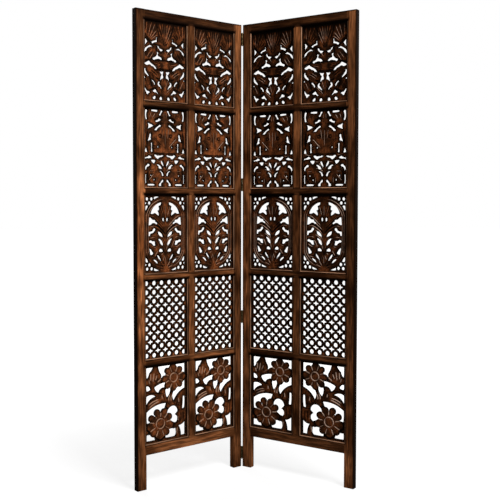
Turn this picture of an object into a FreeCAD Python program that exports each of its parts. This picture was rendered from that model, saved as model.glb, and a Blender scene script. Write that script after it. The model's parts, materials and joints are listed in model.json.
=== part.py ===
"""Two-leaf folding screen of carved wood, in millimetres, +Z up.

Each leaf is a frame of two stiles, six rails and five muntins around ten pierced inserts.
A leaf is made flat, as the right-hand one: X runs from its hinge edge to its outer edge,
Y from its front face to its back and Z up from the floor. It is then turned about the hinge pins.
The finished part stands on Z = 0 with its footprint centred on the origin and its V open towards -Y.
"""
import FreeCAD
import Part
import math
import os

# Leaf sizes
leaf_width = 508.0
leaf_height = 1829.0
leaf_thickness = 25.0
rest_angle = 108.0  # degrees between the front faces as it stands

# Frame members
stile_width = 40.0
muntin_width = 40.0
top_rail_height = 37.0
middle_rail_height = 30.0
bottom_rail_height = 42.0
leg_height = 133.0
arris_radius = 1.5
moulding_size = 4.0
quirk_width = 1.4
quirk_depth = 1.0
row_count = 5

# Joinery
tenon_thickness = 8.0
tenon_shoulder = 7.0
rail_tenon_length = 22.0
muntin_tenon_length = 9.0
tenon_clearance = 0.1
groove_depth = 6.0
insert_thickness = 8.0
insert_clearance = 0.15

# Hinges
hinge_height = 51.0
hinge_level_shares = [0.032, 0.3445, 0.6435, 0.968]  # of the leaf's height
knuckle_count = 5
knuckle_radius = 2.6
knuckle_gap = 0.3
knuckle_clearance = 0.4
plate_thickness = 1.1
plate_reach = 20.0
pin_radius = 1.3
pin_clearance = 0.05
pin_head_radius = 2.2
pin_head_height = 1.5
leaf_gap = 2.6  # between the stile edges when the screen is flat
face_gap = 5.2  # between the front faces when the screen is folded shut

# Hinge screws
screw_length = 14.0
screw_radius = 1.6
screw_tip_length = 4.0
screw_tip_radius = 0.2
screw_head_radius = 3.0
screw_slot_width = 0.8
screw_slot_depth = 0.5
screw_clearance = 0.1
screw_end_inset = 9.0
screw_edge_inset = 5.0
screw_stagger = 6.0

# Piercings
saw_allowance = 0.9  # wood left inside the drawn outline of a sawn hole
bead_hole_diameter = 6.0
side_bead_hole_diameter = 7.5
corner_hole_diameter = 13.0
lattice_hole_diameter = 17.5
lattice_border = 6.0
lattice_side_overlap = 4.0
lattice_end_margin = 10.0
lattice_star_width = 27.0
lattice_star_height = 26.0
lattice_star_waist = 11.0
lattice_columns = 5
lattice_rows = 8
upper_daisy_radius = 54.0
upper_petal_count = 8
upper_petal_turn = 0.0  # degrees that the first petal is turned from level
lower_daisy_radius = 61.0
lower_petal_count = 9
lower_petal_turn = -12.0
petal_radius_share = 0.235
daisy_disc_share = 0.62
straight_share = 0.01  # a side that bows less than this share of its length is cut straight
cut_overrun = 5.0

# Worked out from the sizes above
opening_width = (leaf_width - 2 * stile_width - muntin_width) / 2
rails_height = top_rail_height + bottom_rail_height + (row_count - 1) * middle_rail_height
opening_height = (leaf_height - leg_height - rails_height) / row_count
row_pitch = opening_height + middle_rail_height
lowest_opening_z = leg_height + bottom_rail_height
pin_setback = leaf_gap / 2
pin_stand = face_gap / 2
fold_angle = (180 - rest_angle) / 2
knuckle_pitch = hinge_height / knuckle_count
cut_depth = insert_thickness + 2 * cut_overrun

# Piercings of the right half of each symmetric design, as shares of the opening's width from its
# middle and of its height from its sill. Corners and the points that bow the sides take turns.
leaf_spray_shares = [
    [(0.392, 0.738), (0.43, 0.768), (0.474, 0.792), (0.462, 0.735), (0.478, 0.672), (0.43, 0.705)],
    [(0.166, 0.80), (0.186, 0.803), (0.206, 0.79), (0.211, 0.768), (0.25, 0.76), (0.28, 0.748),
     (0.316, 0.738), (0.302, 0.719), (0.276, 0.712), (0.258, 0.723), (0.24, 0.732), (0.20, 0.738),
     (0.163, 0.748), (0.174, 0.775)],
    [(0.228, 0.656), (0.285, 0.683), (0.335, 0.699), (0.40, 0.677), (0.458, 0.652), (0.478, 0.62),
     (0.47, 0.576), (0.45, 0.603), (0.418, 0.622), (0.398, 0.645), (0.353, 0.667), (0.305, 0.672)],
    [(0.028, 0.652), (0.075, 0.664), (0.115, 0.669), (0.135, 0.693), (0.174, 0.702), (0.166, 0.672),
     (0.132, 0.652), (0.113, 0.634), (0.088, 0.626), (0.055, 0.637)],
    [(0.134, 0.602), (0.158, 0.622), (0.194, 0.618), (0.187, 0.588), (0.207, 0.569), (0.222, 0.556),
     (0.245, 0.547), (0.27, 0.54), (0.286, 0.53), (0.272, 0.513), (0.235, 0.512), (0.21, 0.522),
     (0.185, 0.523), (0.145, 0.53), (0.105, 0.52), (0.075, 0.522), (0.05, 0.528), (0.073, 0.552),
     (0.125, 0.566), (0.146, 0.578)],
    [(0.17, 0.388), (0.195, 0.422), (0.24, 0.447), (0.29, 0.466), (0.33, 0.481), (0.342, 0.492),
     (0.36, 0.499), (0.40, 0.489), (0.438, 0.475), (0.462, 0.467), (0.48, 0.456), (0.455, 0.442),
     (0.395, 0.436), (0.355, 0.446), (0.32, 0.429), (0.29, 0.427), (0.262, 0.418), (0.245, 0.404),
     (0.215, 0.397), (0.195, 0.395)],
    [(0.018, 0.386), (0.024, 0.362), (0.034, 0.342), (0.024, 0.32), (0.022, 0.29), (0.06, 0.283),
     (0.085, 0.262), (0.10, 0.262), (0.112, 0.275), (0.10, 0.31), (0.08, 0.336), (0.105, 0.35),
     (0.126, 0.388), (0.075, 0.377)],
    [(0.44, 0.398), (0.46, 0.401), (0.477, 0.394), (0.481, 0.358), (0.468, 0.335), (0.435, 0.318),
     (0.405, 0.302), (0.38, 0.296), (0.358, 0.302), (0.378, 0.324), (0.408, 0.345), (0.42, 0.362),
     (0.438, 0.374), (0.438, 0.386)],
    [(0.304, 0.272), (0.27, 0.257), (0.243, 0.243), (0.222, 0.222), (0.215, 0.20), (0.24, 0.196),
     (0.262, 0.21), (0.27, 0.222), (0.285, 0.235), (0.307, 0.247)],
    [(0.105, 0.236), (0.12, 0.226), (0.117, 0.215), (0.092, 0.195), (0.055, 0.155), (0.09, 0.156),
     (0.115, 0.177), (0.15, 0.185), (0.176, 0.212), (0.168, 0.232), (0.138, 0.25), (0.118, 0.249)],
    [(0.136, 0.086), (0.163, 0.107), (0.184, 0.121), (0.20, 0.142), (0.226, 0.149), (0.258, 0.136),
     (0.294, 0.118), (0.265, 0.106), (0.21, 0.103), (0.188, 0.09), (0.165, 0.082), (0.15, 0.083)],
    [(0.333, 0.10), (0.365, 0.114), (0.403, 0.117), (0.43, 0.14), (0.476, 0.178), (0.47, 0.13),
     (0.44, 0.094), (0.42, 0.07), (0.395, 0.066), (0.368, 0.086)],
    [(0.055, 0.02), (0.062, 0.048), (0.09, 0.06), (0.12, 0.045), (0.134, 0.02), (0.095, 0.01)],
    [(0.207, 0.056), (0.242, 0.061), (0.272, 0.046), (0.288, 0.034), (0.284, 0.022), (0.235, 0.016)],
]
leaf_spray_bead_shares = [(0.466, 0.283)]

palmette_shares = [
    [(0.402, 0.963), (0.428, 0.984), (0.466, 0.974), (0.472, 0.92), (0.462, 0.868), (0.435, 0.852),
     (0.406, 0.864), (0.424, 0.915)],
    [(0.166, 0.984), (0.24, 0.987), (0.318, 0.983), (0.329, 0.974), (0.305, 0.962), (0.24, 0.957),
     (0.172, 0.957), (0.165, 0.97)],
    [(0.043, 0.968), (0.072, 0.983), (0.104, 0.972), (0.116, 0.95), (0.148, 0.924), (0.118, 0.911),
     (0.086, 0.924), (0.074, 0.942)],
    [(0.083, 0.86), (0.118, 0.877), (0.162, 0.874), (0.178, 0.857), (0.205, 0.851), (0.228, 0.84),
     (0.215, 0.825), (0.15, 0.836)],
    [(0.078, 0.787), (0.112, 0.799), (0.152, 0.786), (0.205, 0.762), (0.258, 0.727), (0.215, 0.721),
     (0.178, 0.728), (0.155, 0.751), (0.122, 0.767), (0.098, 0.774)],
    [(0.262, 0.778), (0.302, 0.798), (0.338, 0.802), (0.375, 0.814), (0.42, 0.82), (0.394, 0.78),
     (0.416, 0.734), (0.345, 0.752)],
    [(0.318, 0.66), (0.34, 0.682), (0.368, 0.672), (0.374, 0.652), (0.378, 0.636), (0.395, 0.612),
     (0.42, 0.57), (0.375, 0.588), (0.328, 0.598), (0.318, 0.612), (0.33, 0.632), (0.32, 0.645)],
    [(0.29, 0.552), (0.312, 0.568), (0.336, 0.556), (0.33, 0.505), (0.338, 0.456), (0.312, 0.444),
     (0.284, 0.455), (0.294, 0.505)],
    [(0.402, 0.445), (0.42, 0.475), (0.432, 0.515), (0.462, 0.49), (0.476, 0.445), (0.44, 0.44)],
    [(0.016, 0.408), (0.05, 0.411), (0.085, 0.414), (0.108, 0.405), (0.132, 0.41), (0.16, 0.404),
     (0.195, 0.413), (0.23, 0.416), (0.264, 0.408), (0.24, 0.386), (0.205, 0.368), (0.17, 0.357),
     (0.135, 0.37), (0.10, 0.383), (0.065, 0.385), (0.04, 0.396)],
    [(0.303, 0.376), (0.33, 0.393), (0.385, 0.401), (0.415, 0.386), (0.47, 0.378), (0.476, 0.36),
     (0.46, 0.344), (0.43, 0.363), (0.40, 0.361), (0.35, 0.366)],
    [(0.218, 0.345), (0.275, 0.35), (0.338, 0.345), (0.312, 0.318), (0.262, 0.296), (0.228, 0.318)],
    [(0.352, 0.287), (0.39, 0.297), (0.435, 0.277), (0.462, 0.262), (0.468, 0.222), (0.45, 0.212),
     (0.43, 0.218), (0.42, 0.243), (0.385, 0.262), (0.355, 0.272)],
    [(0.018, 0.252), (0.032, 0.30), (0.068, 0.34), (0.092, 0.338), (0.104, 0.318), (0.07, 0.278)],
    [(0.062, 0.236), (0.10, 0.273), (0.155, 0.293), (0.185, 0.292), (0.198, 0.277), (0.172, 0.272),
     (0.158, 0.255), (0.15, 0.24), (0.13, 0.234), (0.095, 0.232)],
    [(0.025, 0.15), (0.045, 0.185), (0.095, 0.208), (0.12, 0.212), (0.132, 0.20), (0.10, 0.187),
     (0.083, 0.16), (0.06, 0.14)],
    [(0.032, 0.085), (0.05, 0.10), (0.075, 0.093), (0.10, 0.075), (0.118, 0.056), (0.145, 0.042),
     (0.152, 0.016), (0.11, 0.012), (0.075, 0.018), (0.078, 0.045), (0.055, 0.062), (0.035, 0.07)],
    [(0.245, 0.038), (0.325, 0.042), (0.41, 0.038), (0.418, 0.028), (0.41, 0.018), (0.325, 0.016),
     (0.25, 0.018), (0.237, 0.028)],
    [(0.43, 0.155), (0.45, 0.165), (0.468, 0.155), (0.472, 0.105), (0.468, 0.05), (0.45, 0.042),
     (0.43, 0.05), (0.437, 0.105)],
]
palmette_bead_shares = [(0.165, 0.515), (0.33, 0.147), (0.258, 0.094)]

oval_plant_shares = [
    [(0.083, 0.908), (0.235, 0.872), (0.352, 0.758), (0.29, 0.754), (0.245, 0.765), (0.19, 0.742),
     (0.146, 0.722), (0.141, 0.762), (0.168, 0.795), (0.148, 0.801), (0.132, 0.808), (0.135, 0.835),
     (0.144, 0.853), (0.12, 0.862), (0.096, 0.868), (0.086, 0.888)],
    [(0.384, 0.712), (0.392, 0.66), (0.396, 0.61), (0.345, 0.612), (0.305, 0.627), (0.27, 0.637),
     (0.235, 0.628), (0.20, 0.619), (0.172, 0.63), (0.195, 0.648), (0.222, 0.656), (0.228, 0.675),
     (0.25, 0.681), (0.285, 0.684), (0.305, 0.692), (0.335, 0.709)],
    [(0.222, 0.556), (0.24, 0.572), (0.275, 0.573), (0.295, 0.56), (0.305, 0.543), (0.335, 0.534),
     (0.395, 0.53), (0.398, 0.50), (0.395, 0.474), (0.37, 0.469), (0.346, 0.478), (0.34, 0.496),
     (0.31, 0.506), (0.268, 0.516), (0.25, 0.532), (0.232, 0.54)],
    [(0.234, 0.404), (0.265, 0.407), (0.30, 0.407), (0.345, 0.421), (0.392, 0.408), (0.385, 0.392),
     (0.35, 0.385), (0.318, 0.372), (0.297, 0.355), (0.262, 0.345), (0.222, 0.352), (0.232, 0.38)],
    [(0.388, 0.33), (0.372, 0.28), (0.358, 0.226), (0.325, 0.228), (0.285, 0.236), (0.277, 0.25),
     (0.297, 0.27), (0.31, 0.287), (0.325, 0.30), (0.35, 0.311)],
    [(0.045, 0.452), (0.085, 0.505), (0.174, 0.533), (0.172, 0.50), (0.15, 0.478), (0.10, 0.46)],
    [(0.045, 0.338), (0.075, 0.41), (0.168, 0.44), (0.16, 0.417), (0.138, 0.402), (0.128, 0.377),
     (0.10, 0.357), (0.075, 0.345)],
    [(0.043, 0.268), (0.085, 0.304), (0.12, 0.308), (0.148, 0.293), (0.15, 0.268), (0.10, 0.262)],
    [(0.085, 0.138), (0.118, 0.19), (0.16, 0.226), (0.18, 0.229), (0.192, 0.212), (0.175, 0.186),
     (0.13, 0.161), (0.112, 0.142)],
    [(0.166, 0.113), (0.20, 0.154), (0.288, 0.171), (0.262, 0.147), (0.235, 0.134), (0.205, 0.118)],
    [(0.022, 0.685), (0.042, 0.708), (0.072, 0.695), (0.07, 0.668), (0.048, 0.65), (0.024, 0.662)],
]
oval_corner_shares = [
    [(0.13, 0.974), (0.20, 0.981), (0.268, 0.974), (0.276, 0.955), (0.262, 0.936), (0.20, 0.957)],
    [(0.392, 0.858), (0.43, 0.866), (0.468, 0.858), (0.473, 0.825), (0.465, 0.785), (0.424, 0.818)],
]
oval_corner_bead_shares = [(0.426, 0.948), (0.322, 0.948), (0.373, 0.896)]
oval_side_bead_shares = [(0.457, 0.893)]

# Open ground of the daisy design, over the whole opening. The petals are left standing in it.
upper_daisy_share = (0.19, 0.807)
lower_daisy_share = (-0.135, 0.227)
daisy_ground_shares = [
    [(-0.467, 0.98), (-0.38, 0.98), (-0.29, 0.98), (-0.325, 0.94), (-0.385, 0.90), (-0.405, 0.86),
     (-0.46, 0.83), (-0.467, 0.90)],
    [(-0.19, 0.98), (-0.03, 0.98), (0.13, 0.98), (0.06, 0.92), (0.0, 0.84), (-0.06, 0.826),
     (-0.12, 0.815), (-0.112, 0.85), (-0.135, 0.885), (-0.17, 0.93)],
    [(0.23, 0.98), (0.35, 0.98), (0.472, 0.98), (0.472, 0.92), (0.472, 0.855), (0.43, 0.86),
     (0.38, 0.87), (0.29, 0.925)],
    [(-0.468, 0.745), (-0.395, 0.733), (-0.355, 0.69), (-0.40, 0.674), (-0.462, 0.676), (-0.47, 0.71)],
    [(-0.28, 0.715), (-0.15, 0.75), (0.0, 0.762), (-0.012, 0.722), (-0.02, 0.69), (-0.115, 0.678),
     (-0.165, 0.632), (-0.245, 0.665)],
    [(-0.015, 0.65), (0.05, 0.688), (0.12, 0.672), (0.095, 0.59), (0.03, 0.548), (-0.005, 0.60)],
    [(0.472, 0.76), (0.472, 0.70), (0.472, 0.645), (0.29, 0.575), (0.20, 0.49), (0.164, 0.53),
     (0.15, 0.575), (0.185, 0.625), (0.25, 0.66), (0.38, 0.72)],
    [(-0.467, 0.61), (-0.33, 0.622), (-0.23, 0.588), (-0.39, 0.545), (-0.465, 0.47), (-0.472, 0.54)],
    [(-0.465, 0.405), (-0.22, 0.48), (0.02, 0.487), (-0.01, 0.44), (-0.06, 0.385), (-0.165, 0.352),
     (-0.265, 0.318), (-0.32, 0.275), (-0.458, 0.255), (-0.468, 0.34)],
    [(0.05, 0.395), (0.19, 0.435), (0.30, 0.35), (0.262, 0.325), (0.235, 0.31), (0.298, 0.25),
     (0.24, 0.20), (0.12, 0.24), (0.05, 0.285), (0.025, 0.325)],
    [(0.41, 0.53), (0.445, 0.545), (0.472, 0.53), (0.474, 0.46), (0.465, 0.385), (0.43, 0.372),
     (0.39, 0.38), (0.407, 0.455)],
    [(0.30, 0.165), (0.40, 0.177), (0.47, 0.225), (0.47, 0.12), (0.47, 0.022), (0.41, 0.02),
     (0.36, 0.022), (0.345, 0.10)],
    [(-0.01, 0.022), (0.03, 0.115), (0.19, 0.13), (0.235, 0.132), (0.25, 0.10), (0.255, 0.055),
     (0.22, 0.022), (0.10, 0.02)],
    [(-0.465, 0.11), (-0.468, 0.065), (-0.465, 0.022), (-0.36, 0.02), (-0.25, 0.022), (-0.27, 0.06),
     (-0.30, 0.10), (-0.38, 0.108)],
]


def point(x, z, y=0.0):
    """A point by its place on the face of a leaf and its depth behind that face."""
    return FreeCAD.Vector(x, y, z)


def box(low, high):
    """A block between two corners."""
    size = high - low
    return Part.makeBox(size.x, size.y, size.z, low)


def arris(shape, edge_places):
    """Round the long edges whose middles lie at the given X and Y, or Y and Z, places."""
    edges = []
    for edge in shape.Edges:
        middle = edge.CenterOfMass
        for place in edge_places:
            if all(abs(getattr(middle, axis) - value) < arris_radius for axis, value in place.items()):
                edges.append(edge)
    return shape.makeFillet(arris_radius, edges)


def opening_corners(column, row):
    """Lower and upper corner of an opening, in X and Z. Column 0 is next to the hinge, row 0 the highest."""
    left = stile_width + column * (opening_width + muntin_width)
    sill = lowest_opening_z + (row_count - 1 - row) * row_pitch
    return left, sill, left + opening_width, sill + opening_height


def moulding_cut(corners, depth, face_y, outward):
    """The wedge that a moulding bit takes off the edges of one opening on one face of the leaf."""
    left, sill, right, head = corners
    wires = []
    for spread in (0.0, depth + cut_overrun):
        y = face_y + outward * (spread - depth)
        ring = [point(left - spread, sill - spread, y), point(right + spread, sill - spread, y),
                point(right + spread, head + spread, y), point(left - spread, head + spread, y)]
        wires.append(Part.makePolygon(ring + ring[:1]))
    return Part.makeLoft(wires, True, True)


def quirk_cut(corners, face_y, outward):
    """The shallow step that sets off the moulding of one opening from one face of the leaf."""
    left, sill, right, head = corners
    spread = moulding_size + quirk_width
    floor_y = face_y - outward * quirk_depth
    clear_y = face_y + outward * cut_overrun
    return box(point(left - spread, sill - spread, min(floor_y, clear_y)),
               point(right + spread, head + spread, max(floor_y, clear_y)))


def opening_cuts():
    """What is cut from the frame round every opening: the groove for its insert and both mouldings."""
    cuts = []
    groove_half = insert_thickness / 2 + insert_clearance
    for column in range(2):
        for row in range(row_count):
            corners = opening_corners(column, row)
            left, sill, right, head = corners
            groove = box(point(left - groove_depth, sill - groove_depth, leaf_thickness / 2 - groove_half),
                         point(right + groove_depth, head + groove_depth, leaf_thickness / 2 + groove_half))
            cuts.append(groove)
            for face_y, outward in ((0.0, -1), (leaf_thickness, 1)):
                cuts.append(moulding_cut(corners, moulding_size, face_y, outward))
                cuts.append(quirk_cut(corners, face_y, outward))
    return cuts


def cut_with_neighbours(shape, cuts):
    """Cut a shape with those of the cuts that reach it."""
    near = [cut for cut in cuts if cut.BoundBox.intersect(shape.BoundBox)]
    return shape.cut(near) if near else shape


def rail_levels():
    """Name, underside and top of each rail, from the top of the leaf down."""
    levels = [("top_rail", leaf_height - top_rail_height, leaf_height)]
    for number in range(1, row_count):
        underside = lowest_opening_z + (row_count - number) * row_pitch - middle_rail_height
        levels.append((f"rail_{number}", underside, underside + middle_rail_height))
    levels.append(("bottom_rail", leg_height, lowest_opening_z))
    return levels


def rail_tenon(underside, top, from_x, to_x, clearance):
    """A rail's tenon, or with a clearance the mortise for it."""
    half = tenon_thickness / 2 + clearance
    return box(point(from_x, underside + tenon_shoulder - clearance, leaf_thickness / 2 - half),
               point(to_x, top - tenon_shoulder + clearance, leaf_thickness / 2 + half))


def muntin_tenon(from_z, to_z, clearance):
    """A muntin's stub tenon, or with a clearance the mortise for it."""
    half = tenon_thickness / 2 + clearance
    reach = muntin_width / 2 - tenon_shoulder + clearance
    return box(point(leaf_width / 2 - reach, from_z, leaf_thickness / 2 - half),
               point(leaf_width / 2 + reach, to_z, leaf_thickness / 2 + half))


def stile(edge_x, inner_x, pilot_holes):
    """An upright from the floor to the top. It is edge_x on its outside, inner_x at the openings."""
    blank = box(point(min(edge_x, inner_x), 0.0), point(max(edge_x, inner_x), leaf_height, leaf_thickness))
    blank = arris(blank, [{"x": edge_x, "y": 0.0}, {"x": edge_x, "y": leaf_thickness}])
    depth = math.copysign(rail_tenon_length + tenon_clearance, edge_x - inner_x)
    mortises = []
    for _, underside, top in rail_levels():
        ends = sorted((inner_x, inner_x + depth))
        mortises.append(rail_tenon(underside, top, *ends, tenon_clearance))
    return cut_with_neighbours(blank, opening_cuts() + mortises + pilot_holes)


def rail(underside, top, eased_z):
    """A cross member with a tenon at each end. Its edges at eased_z, the leaf's own edge, are rounded."""
    left = stile_width
    right = leaf_width - stile_width
    blank = box(point(left, underside), point(right, top, leaf_thickness))
    if eased_z is not None:
        blank = arris(blank, [{"y": 0.0, "z": eased_z}, {"y": leaf_thickness, "z": eased_z}])
    tenons = [rail_tenon(underside, top, left - rail_tenon_length, left, 0.0),
              rail_tenon(underside, top, right, right + rail_tenon_length, 0.0)]
    depth = muntin_tenon_length + tenon_clearance
    mortises = []
    if top < leaf_height:
        mortises.append(muntin_tenon(top - depth, top, tenon_clearance))
    if underside > leg_height:
        mortises.append(muntin_tenon(underside, underside + depth, tenon_clearance))
    return cut_with_neighbours(blank, opening_cuts() + mortises).fuse(tenons).removeSplitter()


def muntin(row):
    """A short upright between the two openings of one row, with a stub tenon at each end."""
    _, sill, left, head = opening_corners(0, row)
    right = opening_corners(1, row)[0]
    blank = box(point(left, sill), point(right, head, leaf_thickness))
    tenons = [muntin_tenon(sill - muntin_tenon_length, sill, 0.0),
              muntin_tenon(head, head + muntin_tenon_length, 0.0)]
    return cut_with_neighbours(blank, opening_cuts()).fuse(tenons).removeSplitter()


def arc_outline(points):
    """A closed outline of arcs. Every second point bows the side it lies on."""
    edges = []
    for index in range(0, len(points), 2):
        start, bow, end = points[index], points[index + 1], points[(index + 2) % len(points)]
        chord = end - start
        offset = bow.distanceToLine(start, chord)
        if offset < chord.Length * straight_share:
            edges.append(Part.LineSegment(start, end).toShape())
        else:
            edges.append(Part.Arc(start, bow, end).toShape())
    return Part.Wire(edges)


def cut_through(outline):
    """What is sawn out along an outline in front of the insert."""
    return Part.Face(outline).extrude(FreeCAD.Vector(0, cut_depth, 0))


def placed(share, flip=1):
    """A share of the opening as a point in front of the insert."""
    return point(flip * share[0] * opening_width, share[1] * opening_height, -cut_overrun)


def holes(outlines, flip=1):
    """Sawn holes, which stay a little inside their drawn outlines."""
    drawn = [arc_outline([placed(share, flip) for share in outline]) for outline in outlines]
    return [cut_through(outline.makeOffset2D(-saw_allowance)) for outline in drawn]


def beads(shares, diameter, flip=1):
    """Round holes."""
    across = FreeCAD.Vector(0, 1, 0)
    return [Part.makeCylinder(diameter / 2, cut_depth, placed(share, flip), across) for share in shares]


def upended(shares):
    """The same places counted from the head of the opening."""
    return [(across, 1 - up) for across, up in shares]


def leaf_spray_cuts():
    cuts = []
    for flip in (-1, 1):
        cuts += holes(leaf_spray_shares, flip) + beads(leaf_spray_bead_shares, bead_hole_diameter, flip)
    return cuts


def palmette_cuts():
    cuts = []
    for flip in (-1, 1):
        cuts += holes(palmette_shares, flip) + beads(palmette_bead_shares, bead_hole_diameter, flip)
    return cuts


def oval_plant_cuts():
    """The plant in its oval, and a few lattice holes in each corner outside it."""
    cuts = []
    for flip in (-1, 1):
        cuts += holes(oval_plant_shares, flip)
        for turn in (list, upended):
            cuts += holes([turn(outline) for outline in oval_corner_shares], flip)
            cuts += beads(turn(oval_corner_bead_shares), corner_hole_diameter, flip)
            cuts += beads(turn(oval_side_bead_shares), side_bead_hole_diameter, flip)
    return cuts


def star_lattice_cuts():
    """Rows of round holes, half ones at the sides, with four-pointed stars between them."""
    field_half = opening_width / 2 - lattice_border
    pitch_x = 2 * (field_half - lattice_side_overlap) / lattice_columns
    pitch_z = (opening_height - 2 * lattice_end_margin) / lattice_rows
    field = box(point(-field_half, 0.0, -cut_overrun),
                point(field_half, opening_height, cut_depth - cut_overrun))
    cuts = []
    for row in range(lattice_rows + 1):
        z = lattice_end_margin + row * pitch_z
        for column in range(lattice_columns + 1):
            x = (column - lattice_columns / 2) * pitch_x
            hole = Part.makeCylinder(lattice_hole_diameter / 2, cut_depth, point(x, z, -cut_overrun),
                                     FreeCAD.Vector(0, 1, 0))
            cuts.append(hole.common(field) if column in (0, lattice_columns) else hole)
    for row in range(lattice_rows):
        for column in range(lattice_columns):
            x = (column - (lattice_columns - 1) / 2) * pitch_x
            z = lattice_end_margin + (row + 0.5) * pitch_z
            cuts.append(star_prism(x, z))
    return cuts


def star_prism(x, z):
    """A four-pointed star."""
    outline = []
    for quarter in range(4):
        turn = math.radians(90 * quarter)
        half_turn = math.radians(90 * quarter + 45)
        outline.append(point(x + lattice_star_width / 2 * math.cos(turn),
                             z + lattice_star_height / 2 * math.sin(turn), -cut_overrun))
        outline.append(point(x + lattice_star_waist / 2 * math.cos(half_turn),
                             z + lattice_star_waist / 2 * math.sin(half_turn), -cut_overrun))
    return cut_through(Part.makePolygon(outline + outline[:1]))


def daisy(share, radius, petal_count, first_turn, flip):
    """A daisy left standing: a ring of round-ended petals about a disc."""
    middle = placed(share, flip)
    across = FreeCAD.Vector(0, 1, 0)
    petal_radius = radius * petal_radius_share
    petal_reach = radius - petal_radius
    standing = [Part.makeCylinder(radius * daisy_disc_share, cut_depth, middle, across)]
    for number in range(petal_count):
        turn = math.radians(first_turn + 360 * number / petal_count)
        centre = middle + point(flip * petal_reach * math.cos(turn), petal_reach * math.sin(turn))
        standing.append(Part.makeCylinder(petal_radius, cut_depth, centre, across))
    return standing


def daisy_cuts(flip):
    standing = daisy(upper_daisy_share, upper_daisy_radius, upper_petal_count, upper_petal_turn, flip)
    standing += daisy(lower_daisy_share, lower_daisy_radius, lower_petal_count, lower_petal_turn, flip)
    return [ground.cut(standing) for ground in holes(daisy_ground_shares, flip)]


def insert(cuts):
    """A pierced board whose edges run into the grooves of the frame, about the middle of its sill."""
    margin = groove_depth - insert_clearance
    board = box(point(-opening_width / 2 - margin, -margin),
                point(opening_width / 2 + margin, opening_height + margin, insert_thickness))
    return board.cut(cuts)


def hinge_levels():
    return [share * leaf_height for share in hinge_level_shares]


def hinge_plate(middle_z, knuckles):
    """A hinge plate on the edge of a right-hand stile, rolled into its knuckles round the pin."""
    low_z = middle_z - hinge_height / 2
    root_y = knuckle_radius + knuckle_clearance - pin_stand
    plate = box(point(-plate_thickness, low_z, root_y), point(0.0, low_z + hinge_height, plate_reach))
    rolls = []
    for number in knuckles:
        start = low_z + number * knuckle_pitch + knuckle_gap / 2
        end = start + knuckle_pitch - knuckle_gap
        rolls.append(Part.makeCylinder(knuckle_radius, end - start, point(-pin_setback, start, -pin_stand)))
        rolls.append(box(point(-plate_thickness, start, -pin_stand), point(0.0, end, root_y)))
    pin_foot = point(-pin_setback, low_z, -pin_stand)
    bore = Part.makeCylinder(pin_radius + pin_clearance, hinge_height, pin_foot)
    sinks = [screw_blank(place, screw_clearance) for place in screw_places(middle_z)]
    return plate.fuse(rolls).removeSplitter().cut([bore] + sinks)


def hinge_pin(middle_z):
    """A pin through the knuckles with a head on each end."""
    low = point(-pin_setback, middle_z - hinge_height / 2, -pin_stand)
    up = FreeCAD.Vector(0, 0, 1)
    shank = Part.makeCylinder(pin_radius, hinge_height, low)
    heads = [Part.makeCylinder(pin_head_radius, pin_head_height, low - up * pin_head_height),
             Part.makeCylinder(pin_head_radius, pin_head_height, low + up * hinge_height)]
    return shank.fuse(heads).removeSplitter()


def screw_places(middle_z):
    """Where the three screws of one plate enter it, the middle one set nearer to the pin."""
    spread = hinge_height / 2 - screw_end_inset
    edge_y = plate_reach - screw_edge_inset
    return [point(-plate_thickness, middle_z + step * spread, edge_y - (step == 0) * screw_stagger)
            for step in (-1, 0, 1)]


def screw_blank(place, clearance):
    """A countersunk screw before its slot is cut, or with a clearance the hole for it."""
    into = FreeCAD.Vector(1, 0, 0)
    head_radius = screw_head_radius + clearance
    radius = screw_radius + clearance
    sink = head_radius - radius
    shank_length = screw_length - screw_tip_length
    tip_length = screw_tip_length + clearance
    head = Part.makeCone(head_radius, radius, sink, place, into)
    shank = Part.makeCylinder(radius, shank_length - sink, place + into * sink, into)
    tip = Part.makeCone(radius, screw_tip_radius + clearance, tip_length, place + into * shank_length, into)
    return head.fuse([shank, tip]).removeSplitter()


def screw(place):
    slot = box(place + point(0.0, -screw_head_radius, -screw_slot_width / 2),
               place + point(screw_slot_depth, screw_head_radius, screw_slot_width / 2))
    return screw_blank(place, 0.0).cut(slot)


def leaf_frame():
    """The wooden members of a right-hand leaf, lying flat, by name."""
    pilots = [screw_blank(place, screw_clearance)
              for level in hinge_levels() for place in screw_places(level)]
    members = {
        "hinge_stile": stile(0.0, stile_width, pilots),
        "outer_stile": stile(leaf_width, leaf_width - stile_width, []),
    }
    for name, underside, top in rail_levels():
        eased_z = {"top_rail": top, "bottom_rail": underside}.get(name)
        members[name] = rail(underside, top, eased_z)
    for row in range(row_count):
        members[f"muntin_{row + 1}"] = muntin(row)
    return members


def mirrored(shape):
    """The left-hand twin of a right-hand shape."""
    return shape.mirror(FreeCAD.Vector(0, 0, 0), FreeCAD.Vector(1, 0, 0))


def stand(shape, side):
    """Turn a flat leaf's piece about the pins to the rest angle, and set the part over the origin."""
    turn = math.radians(fold_angle)
    back_y = math.cos(turn) * (leaf_thickness + pin_stand) - math.sin(turn) * pin_setback
    front_y = math.cos(turn) * pin_stand - math.sin(turn) * (leaf_width + pin_setback)
    piece = shape.copy()
    piece.translate(FreeCAD.Vector(side * pin_setback, pin_stand, 0))
    piece.rotate(FreeCAD.Vector(0, 0, 0), FreeCAD.Vector(0, 0, 1), -side * fold_angle)
    piece.translate(FreeCAD.Vector(0, -(back_y + front_y) / 2, 0))
    return piece


def write(name, shape):
    shape.exportStep(os.path.join("parts", f"{name}.step"))


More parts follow.
